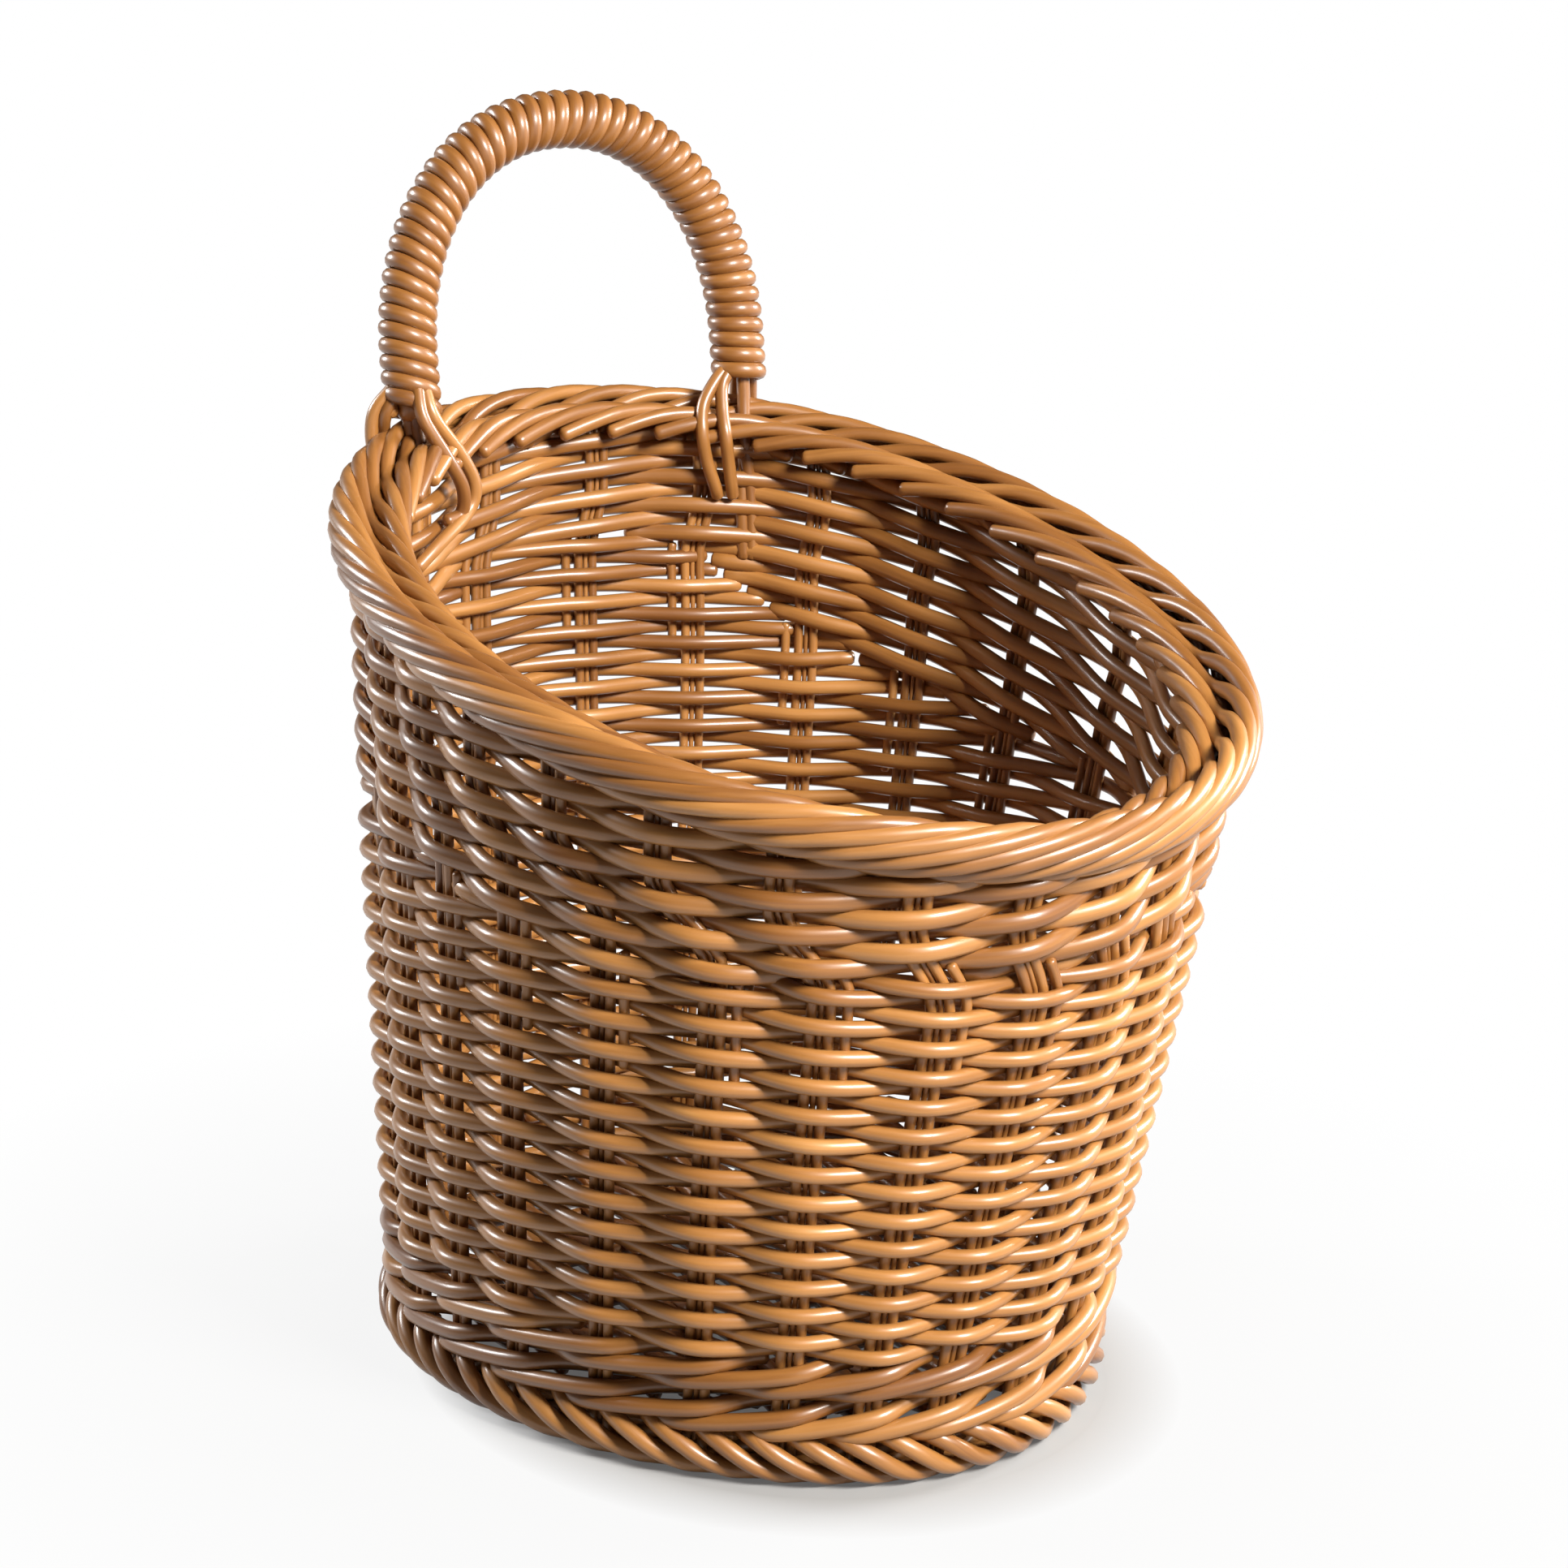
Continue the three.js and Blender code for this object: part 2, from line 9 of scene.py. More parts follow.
import bmesh
import bpy
import numpy as np
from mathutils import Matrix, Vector


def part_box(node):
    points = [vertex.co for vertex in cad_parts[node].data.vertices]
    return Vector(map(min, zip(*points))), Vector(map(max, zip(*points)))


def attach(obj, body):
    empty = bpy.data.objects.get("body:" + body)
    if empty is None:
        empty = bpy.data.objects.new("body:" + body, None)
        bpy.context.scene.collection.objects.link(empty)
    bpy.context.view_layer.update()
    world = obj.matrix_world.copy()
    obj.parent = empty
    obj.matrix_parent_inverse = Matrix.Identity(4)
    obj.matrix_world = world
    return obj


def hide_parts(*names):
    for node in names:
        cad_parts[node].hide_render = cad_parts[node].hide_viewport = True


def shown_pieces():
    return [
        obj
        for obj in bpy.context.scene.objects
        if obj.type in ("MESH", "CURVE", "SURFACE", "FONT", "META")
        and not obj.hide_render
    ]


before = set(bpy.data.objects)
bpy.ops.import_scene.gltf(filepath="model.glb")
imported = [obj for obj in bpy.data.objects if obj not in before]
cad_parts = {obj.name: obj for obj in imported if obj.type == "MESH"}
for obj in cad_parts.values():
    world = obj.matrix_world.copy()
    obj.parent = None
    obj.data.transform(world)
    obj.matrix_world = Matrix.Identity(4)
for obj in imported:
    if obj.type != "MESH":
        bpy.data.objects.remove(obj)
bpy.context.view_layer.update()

# %% [markdown]
# ## The basket's own measures
# All shapes are worked out in millimetres, from the middle of the plan's back-to-front axis, and
# turned into metres as a mesh is made. The model's origin is the middle of its box instead, so
# one shift along Y joins the two. It is read from a straight stick in the base, whose place is
# known in both.

# %% Measures of the plan, the rim and the strands
MM = 0.001
STAKES = 23
MODEL_PAIRS = 25
STRAND = 4.2
UPRIGHT = 3.0
PAIR_PITCH = 4.9
BACK_REACH = 109.0
FLOOR_PLAN = {"half_width": 97.0, "front": 120.0, "flat": 5.5, "taper": -3.0}
MOUTH_PLAN = {"half_width": 115.0, "front": 164.0, "flat": 1.2, "taper": 0.0}
MOUTH_LEVEL = 200.0
RIM_FRONT, RIM_SIDE, RIM_BACK = 187.0, 232.5, 272.0
ROLL_MEAN, ROLL_SLOPE, ROLL_HOLLOW = -1.1, 2.25, 0.35
MOUTH_SOFTNESS, MOUTH_CLOSING = 0.04, 1.6
MIDDLE_STICK_Y = -5.5

stick_low, stick_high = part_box("base_stick_04")
SHIFT_Y = (stick_low.y + stick_high.y) / 2 / MM - MIDDLE_STICK_Y
print("the plan's zero lies", round(SHIFT_Y, 2), "mm behind the model's origin")

# %% [markdown]
# ## The wall as a function
# The wall is a straight-sided shell between an egg-shaped plan at the floor and a wider one at
# mouth level. A point of it has a share of the way round, an offset out of the wall's middle and
# a height. Strands are then simple to describe: they keep a height and swing through the wall.

# %% Plan curve and wall
def plan(level, t, offset, along=0.0):
    """x = w sin t + k sin 2t and y = back - r (1 + cos t) + f (1 - cos 2t), then moved outward
    by the offset along the curve's normal and sideways along its tangent."""
    reach = (level["front"] + BACK_REACH) / 2
    x = level["half_width"] * np.sin(t) + level["taper"] * np.sin(2 * t)
    y = BACK_REACH - reach * (1 + np.cos(t)) + level["flat"] * (1 - np.cos(2 * t))
    dx = level["half_width"] * np.cos(t) + 2 * level["taper"] * np.cos(2 * t)
    dy = reach * np.sin(t) + 2 * level["flat"] * np.sin(2 * t)
    length = np.hypot(dx, dy)
    return np.stack([x + (offset * dy + along * dx) / length,
                     y + (along * dy - offset * dx) / length], axis=-1)


def flare(height):
    """Share of the mouth plan: s = height / mouth level while s < 1, then s - 1.6 (s - 1), joined
    by the soft step w log(1 + exp((s - 1) / w))."""
    share = height / MOUTH_LEVEL
    soft_step = MOUTH_SOFTNESS * np.logaddexp(0, (share - 1) / MOUTH_SOFTNESS)
    return share - MOUTH_CLOSING * soft_step


def wall(t, offset, height, along=0.0):
    """Line between the floor plan's point and the mouth plan's point, by the flare's share."""
    t, offset, height, along = np.broadcast_arrays(t, offset, height, along)
    share = flare(height)[..., None]
    low, high = plan(FLOOR_PLAN, t, offset, along), plan(MOUTH_PLAN, t, offset, along)
    return np.concatenate([low * (1 - share) + high * share, height[..., None]], axis=-1)


def rim(t):
    """Height of the rim: a mean, a slope from front to back and a slight hollow at the sides."""
    ends = (RIM_FRONT + RIM_BACK) / 2
    mean = (ends + RIM_SIDE) / 2
    return mean - (RIM_BACK - RIM_FRONT) / 2 * np.cos(t) + (ends - mean) * np.cos(2 * t)


def roll_line(t):
    """Height that the rolled border follows: the rim, 1.5 mm higher in front and 3 mm lower at
    the back, as a mean, a slope and a slight hollow."""
    return rim(t) + ROLL_MEAN + ROLL_SLOPE * np.cos(t) + ROLL_HOLLOW * np.cos(2 * t)


# %% [markdown]
# ## Where the stakes stand
# The stakes are not evenly spread. They are closest in front, where the wall bends most, and
# widest at the back. The front ones fan out towards the rim, and all of them bend to one side
# where the border pulls them, just under the rim.

# %% Places of the stakes
STAKE_DEGREES = np.array([-5, 9, 23, 38, 54, 70, 86.5, 105, 122, 139.5, 157.5, 175.5, 196, 213,
                          229, 245, 260, 272.5, 285, 299.5, 314, 327.3, 341.5, 355])
FAN_DEGREES = np.array([4.5, 3.0, 1.0] + [0] * 18 + [0.5, 3.0, 4.5])
PULL_DEGREES = [0, 9, 40, 90, 140, 180, 250, 280, 300, 315, 327, 342, 355, 360]
PULLS = [4.7, 3.5, 2.5, 2.0, 2.5, 2.3, 3.0, 5.0, 7.0, 7.5, 6.3, 5.5, 5.0, 4.7]
PULL_LOW, PULL_HIGH = 46.0, 22.0
FAN_LEVEL, FAN_HEIGHT = 100.0, 100.0


def station(share):
    """Plan parameter at a share of the way round; whole turns are kept."""
    whole = np.floor(share)
    degrees = np.interp((share - whole) * STAKES, np.arange(STAKES + 1), STAKE_DEGREES)
    return 2 * np.pi * whole + np.radians(degrees)


def place(stake, height):
    """Station of a stake count at a height: the fan times (z - 100) / 100, less a smooth step of
    the pull between two depths under the border."""
    t = station(stake / STAKES)
    spread = np.interp(stake % STAKES, np.arange(STAKES + 1), FAN_DEGREES)
    fan = spread * (height - FAN_LEVEL) / FAN_HEIGHT
    step = np.clip((height - roll_line(t) + PULL_LOW) / (PULL_LOW - PULL_HIGH), 0, 1)
    pull = np.interp(np.degrees(t) % 360, PULL_DEGREES, PULLS)
    return t + np.radians(fan - pull * step ** 2 * (3 - 2 * step))


print("stakes", np.diff(STAKE_DEGREES).min(), "to", np.diff(STAKE_DEGREES).max(), "degrees apart")

# %% [markdown]
# ## Strands
# Every piece of the basket is a round strand on a path. A strand is a grid: one ring of points
# round each point of its path. The ring's plane is square to the path, and one axis of it
# follows a given direction, such as out of the wall, so that no ring twists.

# %% A strand as a grid of points
CAP_NARROWING, CAP_SHOULDER, CAP_TIP = 0.72, 0.38, 0.5
WELD = 1e-7


def unit(vectors):
    """Each vector divided by its length."""
    return vectors / np.linalg.norm(vectors, axis=-1, keepdims=True)


def rings_along(path, out, radius, sides, flat=1.0):
    """Ring of each path point: centre + r cos a (out) + r sin a (side), side = tangent x out."""
    tangent = unit(np.gradient(path, axis=0))
    side = unit(np.cross(tangent, out))
    out = np.cross(side, tangent)
    angle = 2 * np.pi * np.arange(sides) / sides
    radius = np.broadcast_to(radius, len(path))[:, None, None]
    return (path[:, None] + radius * flat * np.cos(angle)[:, None] * out[:, None]
            + radius * np.sin(angle)[:, None] * side[:, None])


def capped(rings, path):
    """Both ends closed by a smaller ring pushed outward and a last ring shrunk to a point."""
    def cap(ring, centre, direction):
        reach = np.linalg.norm(ring[0] - centre)
        small = centre + (ring - centre) * CAP_NARROWING + direction * reach * CAP_SHOULDER
        tip = np.repeat((centre + direction * reach * CAP_TIP)[None], len(ring), axis=0)
        return [small, tip]
    first = cap(rings[0], path[0], unit(path[0] - path[1]))
    last = cap(rings[-1], path[-1], unit(path[-1] - path[-2]))
    return np.concatenate([first[::-1], rings, last])


# %% [markdown]
# ## Pieces of many strands
# A border or a wall is hundreds of strands that are never taken apart, so each is one mesh. No two
# strands of a real basket have quite the same colour, since each was cut from another plant. So
# every strand carries a tone and a map of its own length for the finish to use.

# %% A piece made of many strands
MAP_SPREAD = 9


class Piece:
    """Collects strands and makes them one mesh, with a UV map in metres along and round each
    strand and a point attribute with a tone of its own for each strand."""

    def __init__(self, name, seed):
        self.name = name
        self.dice = np.random.default_rng(seed)
        self.points, self.faces, self.uvs, self.tones = [], [], [], []
        self.count = 0

    def strand(self, path, out, diameter=STRAND, sides=10, flat=1.0):
        """Adds a capped tube: quad (i, j) joins ring i and ring i + 1 at sides j and j + 1."""
        rings = capped(rings_along(path, out, np.asarray(diameter) / 2, sides, flat), path)
        diameter = float(np.mean(diameter))
        rows = len(rings)
        i, j = np.meshgrid(np.arange(rows - 1), np.arange(sides), indexing="ij")
        i1, j1 = i + 1, (j + 1) % sides
        quads = np.stack([i * sides + j, i1 * sides + j, i1 * sides + j1, i * sides + j1], axis=-1)
        centre = rings.mean(axis=1)
        length = np.concatenate([[0], np.cumsum(np.linalg.norm(np.diff(centre, axis=0), axis=1))])
        length = length * MM + self.dice.uniform(0, MAP_SPREAD)
        across = np.arange(sides + 1) / sides * np.pi * diameter * MM
        corners = [(i, j), (i + 1, j), (i + 1, j + 1), (i, j + 1)]
        uv = np.stack([np.stack([length[a], across[b]], axis=-1) for a, b in corners], axis=-2)
        self.points.append(rings.reshape(-1, 3))
        self.faces.append(quads.reshape(-1, 4) + self.count)
        self.uvs.append(uv.reshape(-1, 2))
        self.tones.append(np.full(rows * sides, self.dice.uniform()))
        self.count += rows * sides

    def make(self, slot, *replaced):
        """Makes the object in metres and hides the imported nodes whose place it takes."""
        points = (np.concatenate(self.points) + [0, SHIFT_Y, 0]) * MM
        faces = np.concatenate(self.faces)
        mesh = bpy.data.meshes.new(self.name)
        mesh.from_pydata(points, [], faces)
        mesh.uv_layers.new(name="along").data.foreach_set("uv", np.concatenate(self.uvs).ravel())
        tone = mesh.attributes.new("tone", "FLOAT", "POINT")
        tone.data.foreach_set("value", np.concatenate(self.tones).astype(np.float32))
        mesh.polygons.foreach_set("use_smooth", np.ones(len(faces), bool))
        close_tips(mesh)
        obj = bpy.data.objects.new(self.name, mesh)
        bpy.context.scene.collection.objects.link(obj)
        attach(obj, "root")
        if replaced:
            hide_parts(*replaced)
        print(self.name, len(self.points), "strands,", 2 * len(faces), "triangles")
        return obj


def close_tips(mesh):
    """Merges the points of each shrunken last ring into one, which leaves a fan of triangles."""
    work = bmesh.new()
    work.from_mesh(mesh)
    bmesh.ops.remove_doubles(work, verts=work.verts, dist=WELD)
    bmesh.ops.recalc_face_normals(work, faces=work.faces)
    work.to_mesh(mesh)
    work.free()


# %% [markdown]
# ## The camera
# The camera stands where the photograph was taken from: its place, direction and lens were
# fitted to the outlines of the foot, the rim and the handle.

# %% Camera
AZIMUTH, ELEVATION, DISTANCE = math.radians(-33.04), math.radians(13.85), 983.0
FOCAL_PIXELS, PHOTO_PIXELS, SENSOR = 3905.5, 1932, 36.0
AIM_RIGHT, AIM_UP = 12.55, 165.7

back = np.array([math.sin(AZIMUTH) * math.cos(ELEVATION),
                 -math.cos(AZIMUTH) * math.cos(ELEVATION), math.sin(ELEVATION)])
right = np.array([math.cos(AZIMUTH), math.sin(AZIMUTH), 0])
aim = right * AIM_RIGHT + np.cross(back, right) * AIM_UP + [0, SHIFT_Y, 0]
camera_data = bpy.data.cameras.new("camera")
camera_data.sensor_width = SENSOR
camera_data.lens = SENSOR * FOCAL_PIXELS / PHOTO_PIXELS
camera_data.clip_start, camera_data.clip_end = 0.05, 50
camera = bpy.data.objects.new("camera", camera_data)
camera.location = (aim + back * DISTANCE) * MM
camera.rotation_mode = "QUATERNION"
camera.rotation_quaternion = Vector(-back).to_track_quat("-Z", "Y")
bpy.context.scene.collection.objects.link(camera)
bpy.context.scene.camera = camera
print("lens", round(camera_data.lens, 1), "mm, camera at", [round(v, 3) for v in camera.location])

# %% [markdown]
# ## Uprights
# Thin rods stand in pairs round the wall, with a thinner one between the two, and everything
# else is woven round them. A weaver pushes them into the base first, bends them up and ties them
# at the top. Under the joint of the weave a short rod stands beside each pair. Each rod here is a
# strand that keeps its place round the wall while its height grows.

# %% Pairs of rods and the short rods
UPRIGHT_FOOT = 6.0
SHORT_ROD, SHORT_ROD_BESIDE, SHORT_ROD_END = 30.0, PAIR_PITCH * 1.4, 3.0
THIN_ROD, THIN_ROD_LIFT = 1.6, 4.0
TOP_UNDER_ROLL = 4.0
ROD_POINTS = 40


def upright(piece, stake, along, low, high, diameter):
    """Rod of one stake, from one height to another, beside the stake's own line."""
    height = np.linspace(low, high, ROD_POINTS)
    t = place(np.full(ROD_POINTS, float(stake)), height)
    path = wall(t, 0.0, height, along)
    piece.strand(path, wall(t, 1.0, height, along) - path, diameter)


JOINT_DEGREES = [0, 8, 20, 40, 58, 67, 80, 92, 103, 112, 121, 137, 148, 155, 165, 180, 195,
                 205, 212, 223, 239, 248, 257, 268, 280, 293, 301, 314, 322, 327, 342, 355, 360]
JOINT_HEIGHTS = [153, 155, 156, 157, 158, 160, 163, 167, 170, 175, 181, 192, 206, 220, 228, 231,
                 228, 220, 208, 196, 183, 177, 172, 167, 160, 156, 153, 149, 152, 156, 155, 153,
                 153]


def joint(t):
    """Height at which the level rows end."""
    return np.interp(np.degrees(t) % 360, JOINT_DEGREES, JOINT_HEIGHTS)


uprights = Piece("uprights", 3)
for k in range(STAKES):
    top = roll_line(station(k / STAKES)) - TOP_UNDER_ROLL
    for along in (-PAIR_PITCH / 2, PAIR_PITCH / 2):
        upright(uprights, k, along, UPRIGHT_FOOT, top, UPRIGHT)
    upright(uprights, k, 0.0, UPRIGHT_FOOT + THIN_ROD_LIFT, top, THIN_ROD)
    middle = joint(station(k / STAKES))
    upright(uprights, k, SHORT_ROD_BESIDE, middle - SHORT_ROD, middle + SHORT_ROD_END, UPRIGHT)

# %% [markdown]
# ## How the weave is divided
# Level rows reach a joint that runs low in front and high at the back. The rows above it follow
# the rim. In front each of those climbs by one row from stake to stake until the border covers
# it, at the right side they run level with the rim, and at the back they sink a little.

# %% Rows above and below the joint
SLOPING_ROW = 4.6
CLIMB_DEGREES = [0, 25, 50, 140, 165, 200, 230, 270, 360]
CLIMB_RATES = [1, 1, 0, 0, -0.8, -0.8, 0.4, 1, 1]
SLOPING_COUNT = 9
STEPS = 10

fine = np.arange(STAKES * STEPS) / STEPS
rate = np.interp(np.degrees(station(fine / STAKES)) % 360, CLIMB_DEGREES, CLIMB_RATES)
rate += (SLOPING_COUNT - rate.sum() / STEPS) / STAKES
climb_table = np.concatenate([[0], np.cumsum(rate)]) / STEPS
print("rows climbed from stake to stake", round(rate.min(), 2), "to", round(rate.max(), 2))


def climbed(stake):
    """Rows climbed since stake 0: whole turns x 9 + the table's value for the rest."""
    whole = np.floor(stake / STAKES)
    table = np.interp(stake - whole * STAKES, np.arange(len(climb_table)) / STEPS, climb_table)
    return SLOPING_COUNT * whole + table


def deepest_row(stake):
    """Number of the last sloping strand over the joint: floor(depth / row + rows climbed)."""
    t = station(stake / STAKES)
    return np.floor((roll_line(t) - joint(t)) / SLOPING_ROW + climbed(stake))


def plain_wave(stake):
    """Out at one stake and in at the next, between a cosine and a zigzag: asin(0.75 cos(pi x))."""
    return np.arcsin(0.75 * np.cos(np.pi * stake)) / math.asin(0.75)


# %% [markdown]
# ## Laying one strand
# A new strand is laid in where the last one ran out, and both ends are pushed through to the far
# side of the wall, where they don't show. So a strand here is cut into runs, each run keeps the
# same course as the whole, and its ends swing to the far side.

# %% Laying strands in the wall
TUCK_STEPS, TUCK_TURN = 7, math.radians(50)
TUCK_INWARD, TUCK_OUTWARD = 4.5, 2.2
LEAST_RUN = 12


def kept_runs(mask, least=LEAST_RUN):
    """Index ranges where the mask holds for at least that many steps."""
    edges = np.flatnonzero(np.diff(np.concatenate([[0], mask.astype(int), [0]])))
    return [(a, b) for a, b in zip(edges[::2], edges[1::2]) if b - a >= least]


def tucked(offset, t):
    """Both ends of a run pass to the far side: inward in front and at the left, outward else."""
    from_end = np.minimum(np.arange(len(offset)), np.arange(len(offset))[::-1])
    share = np.clip(1 - from_end / TUCK_STEPS, 0, 1) ** 2
    far_side = np.where(np.cos(t + TUCK_TURN) > 0, -TUCK_INWARD, TUCK_OUTWARD)
    return offset * (1 - share) + far_side * share


def woven_strand(piece, stake, height, offset, keep, diameter, flat=1.0):
    """A strand in the wall, laid as one run for each stretch that is kept."""
    diameter = np.broadcast_to(diameter, stake.shape)
    for a, b in kept_runs(keep):
        t, z = place(stake[a:b], height[a:b]), height[a:b]
        swing = tucked(offset[a:b], t)
        path = wall(t, swing, z)
        piece.strand(path, wall(t, swing + 1, z) - path, diameter[a:b], flat=flat)


# %% [markdown]
# ## The side weave
# One strand goes in front of one pair of rods and behind the next. The number of pairs is odd,
# so on its next turn the same strand does the opposite, and the level rows are one long spiral.

# %% Level rows
WALE_TOP = 37.5
PITCH_DEGREES = [0, 10, 20, 33, 46, 60, 75, 100, 140, 180]
PITCHES = [4.17, 4.20, 4.26, 4.38, 4.50, 4.60, 4.70, 4.72, 4.62, 4.68]
PLAIN_SWING = 3.8
LEVEL_TURNS = 43
JOINT_LAP = 1.6


def row_pitch(t):
    """Distance from row to row: least in front and most at the sides."""
    return np.interp(np.abs((np.degrees(t) + 180) % 360 - 180), PITCH_DEGREES, PITCHES)


level_rows = Piece("level_rows", 5)
stake = STAKES / 2 + np.arange(LEVEL_TURNS * STAKES * STEPS) / STEPS
t = station(stake / STAKES)
pitch = row_pitch(t)
z = WALE_TOP + pitch * (stake / STAKES)
joint_here = roll_line(t) - SLOPING_ROW * (deepest_row(stake) - climbed(stake) + 0.5)
woven_strand(level_rows, stake, z, PLAIN_SWING * plain_wave(stake), z < joint_here + JOINT_LAP,
             pitch)
level_rows.make("strand", "side_weave")

# %% [markdown]
# ## The sloping rows under the rim
# Several strands run round together here. Neighbours are always on opposite sides of a stake,
# and each strand still goes in front of one stake and behind the next.

# %% Sloping rows
SLOPING_SWING = 3.7
SLOPING_TURNS_BEFORE, SLOPING_TURNS_AFTER = 6, 3
SLOPING_WIDTH, SLOPING_FLATNESS = SLOPING_ROW * 1.15, 0.8
UNDER_BORDER = 0.9

sloping_rows = Piece("sloping_rows", 6)
turn_steps = STAKES * STEPS
stake = np.arange(-SLOPING_TURNS_BEFORE * turn_steps, SLOPING_TURNS_AFTER * turn_steps) / STEPS
deepest = deepest_row(stake)
for first in range(SLOPING_COUNT):
    rows_deep = first - climbed(stake)
    z = roll_line(station(stake / STAKES)) - SLOPING_ROW * rows_deep
    keep = (first <= deepest) & (rows_deep > UNDER_BORDER)
    swing = SLOPING_SWING * plain_wave(stake - first)
    woven_strand(sloping_rows, stake, z, swing, keep, SLOPING_WIDTH, flat=SLOPING_FLATNESS)
sloping_rows.make("strand", "sloping_weave")

# %% [markdown]
# ## The wale above the foot
# The lowest rows are laid the same way, but each strand passes in front of two stakes and behind
# the third. The long floats pack tightly and lock the bent uprights. Every strand starts at a
# stake of its own and climbs a row with each stake that it passes, so they stay parallel.

# %% Wale
WALE_FOOT, WALE_ROW = 12.2, 4.6
WALE_SWING = 3.4
WALE_STRAND = 5.0
WALE_STEPS, WALE_LAP = 10, 0.25


def wale_wave(row):
    """tanh(1.6 (0.33 - 1.33 cos(2 pi row / 3))) / tanh 1.6: in at rows 0, 3, 6, out between."""
    return np.tanh(1.6 * (0.33 - 1.33 * np.cos(2 * np.pi * row / 3))) / math.tanh(1.6)


foot_wale = Piece("foot_wale", 7)
row = np.arange(0, (WALE_TOP - WALE_FOOT) / WALE_ROW + WALE_LAP, 1 / WALE_STEPS)
for start in range(STAKES):
    stake = start + row
    z = WALE_FOOT + WALE_ROW * row
    t = place(stake, z)
    path = wall(t, WALE_SWING * wale_wave(row), z)
    foot_wale.strand(path, wall(t, WALE_SWING * wale_wave(row) + 1, z) - path, WALE_STRAND)
foot_wale.make("strand", "base_wale")

# %% [markdown]
# ## Rolled borders
# At the rim the strands come out between the uprights, run slantwise up the outside, roll over
# the top and end inside. So a border strand follows a profile of the wall's section while it
# moves on round the basket, and its neighbours do the same a little further on. The profile dips
# in the middle, because the strands make two rolls, an outer and an inner one.

# %% Section of the top border
BORDER_STRAND = 4.7
BORDER_COUNT = 48
SECTION_SOFTNESS, ONWARD = 3, 0.01
BORDER_SECTION = np.array([
    # offset, rise, stakes along
    (-1.5, -7.0, 0.00), (2.0, -6.5, 0.30), (5.5, -5.0, 0.60), (8.4, -2.4, 0.95), (9.4, 0.8, 1.35),
    (9.0, 3.8, 1.80), (7.4, 6.0, 2.20), (5.2, 6.4, 2.50), (3.2, 5.0, 2.75), (1.6, 2.4, 2.95),
    (0.0, 0.2, 3.10), (-2.0, 0.2, 3.28), (-4.2, 1.8, 3.50), (-6.6, 2.2, 3.75), (-8.9, 0.9, 4.05),
    (-9.9, -2.0, 4.35), (-9.6, -5.0, 4.60)])


def running_mean(values, width):
    """Running mean that keeps the ends where they are."""
    padded = np.pad(values, width, mode="reflect", reflect_type="odd")
    return np.convolve(padded, np.ones(2 * width + 1) / (2 * width + 1), mode="valid")


def border_strand(piece, start, section, base, diameter, count=140):
    """Strand that follows a section of the border while it moves on round the wall. Its rings'
    first axis is square to the strand and to the border's own line."""
    onward = np.linspace(0, section[-1, 2], count)
    offset = running_mean(np.interp(onward, section[:, 2], section[:, 0]), SECTION_SOFTNESS)
    rise = running_mean(np.interp(onward, section[:, 2], section[:, 1]), SECTION_SOFTNESS)
    t = station((start + onward) / STAKES)
    path = wall(t, offset, base(t) + rise)
    around = wall(t + ONWARD, offset, base(t + ONWARD) + rise) - path
    out = np.cross(unit(np.gradient(path, axis=0)), around)
    piece.strand(path, out, diameter)


rolled_rim = Piece("rolled_rim", 8)
for start in np.arange(BORDER_COUNT) * STAKES / BORDER_COUNT:
    border_strand(rolled_rim, start, BORDER_SECTION, roll_line, BORDER_STRAND)
rolled_rim.make("strand", "top_border")

# %% [markdown]
# ## The foot border
# The basket stands on a border that is rolled like the rim's: each strand goes down outside,
# under the wall and up inside. It is made by the same function with a section of its own, two
# strands to each stake, on a level line.

# %% Foot border
FOOT_STRAND = 5.0
FOOT_LEADS = (0.0, 0.48)
FOOT_SECTION = np.array([
    (-1.0, 15.2, 0.00), (2.6, 14.4, 0.15), (4.8, 12.0, 0.35), (5.6, 8.8, 0.55), (5.0, 5.4, 0.75),
    (3.0, 3.0, 0.98), (0.2, 2.5, 1.30), (-2.6, 3.2, 1.60), (-4.8, 5.6, 1.90), (-5.4, 9.0, 2.20),
    (-4.0, 12.0, 2.40)])
rolled_foot = Piece("rolled_foot", 9)
for k in range(STAKES):
    for lead in FOOT_LEADS:
        border_strand(rolled_foot, k + lead, FOOT_SECTION, lambda t: 0 * t, FOOT_STRAND, count=80)
rolled_foot.make("strand", "foot_border")
uprights.make("strand", *[f"stake_pair_{k + 1:02d}" for k in range(MODEL_PAIRS)])

# %% [markdown]
# ## The base
# The bottom is woven flat: straight sticks lie across it and thinner strands go over and under
# them from front to back. Each strand's length comes from the inside of the wall, so the bottom
# fills its outline.

# %% Base panel
BASE_MIDDLE, BASE_INSET = 19.8, 6.8
BASE_STICKS, STICK_SPREAD, STICK_DIAMETER, STICK_END = 7, 0.86, UPRIGHT * 1.4, 3.0
BASE_ROW, BASE_REACH, BASE_SWING = 4.4, 88.0, 2.6
LEAST_OUTLINE = 8
base = Piece("woven_base", 11)
half = wall(station(np.linspace(0, 1, 721)), -BASE_INSET, BASE_MIDDLE)[:361]


def half_width_at(y):
    """Half the width of the base at a place along it, from its outline's right half."""
    return np.interp(y, half[:, 1], half[:, 0])


def flat_strand(x, y, z, diameter):
    """Strand of the base, whose rings' first axis points up."""
    x, y, z = np.broadcast_arrays(x, y, z)
    base.strand(np.stack([x, y, z], axis=-1), np.tile([0, 0, 1.0], (len(x), 1)), diameter, sides=8)


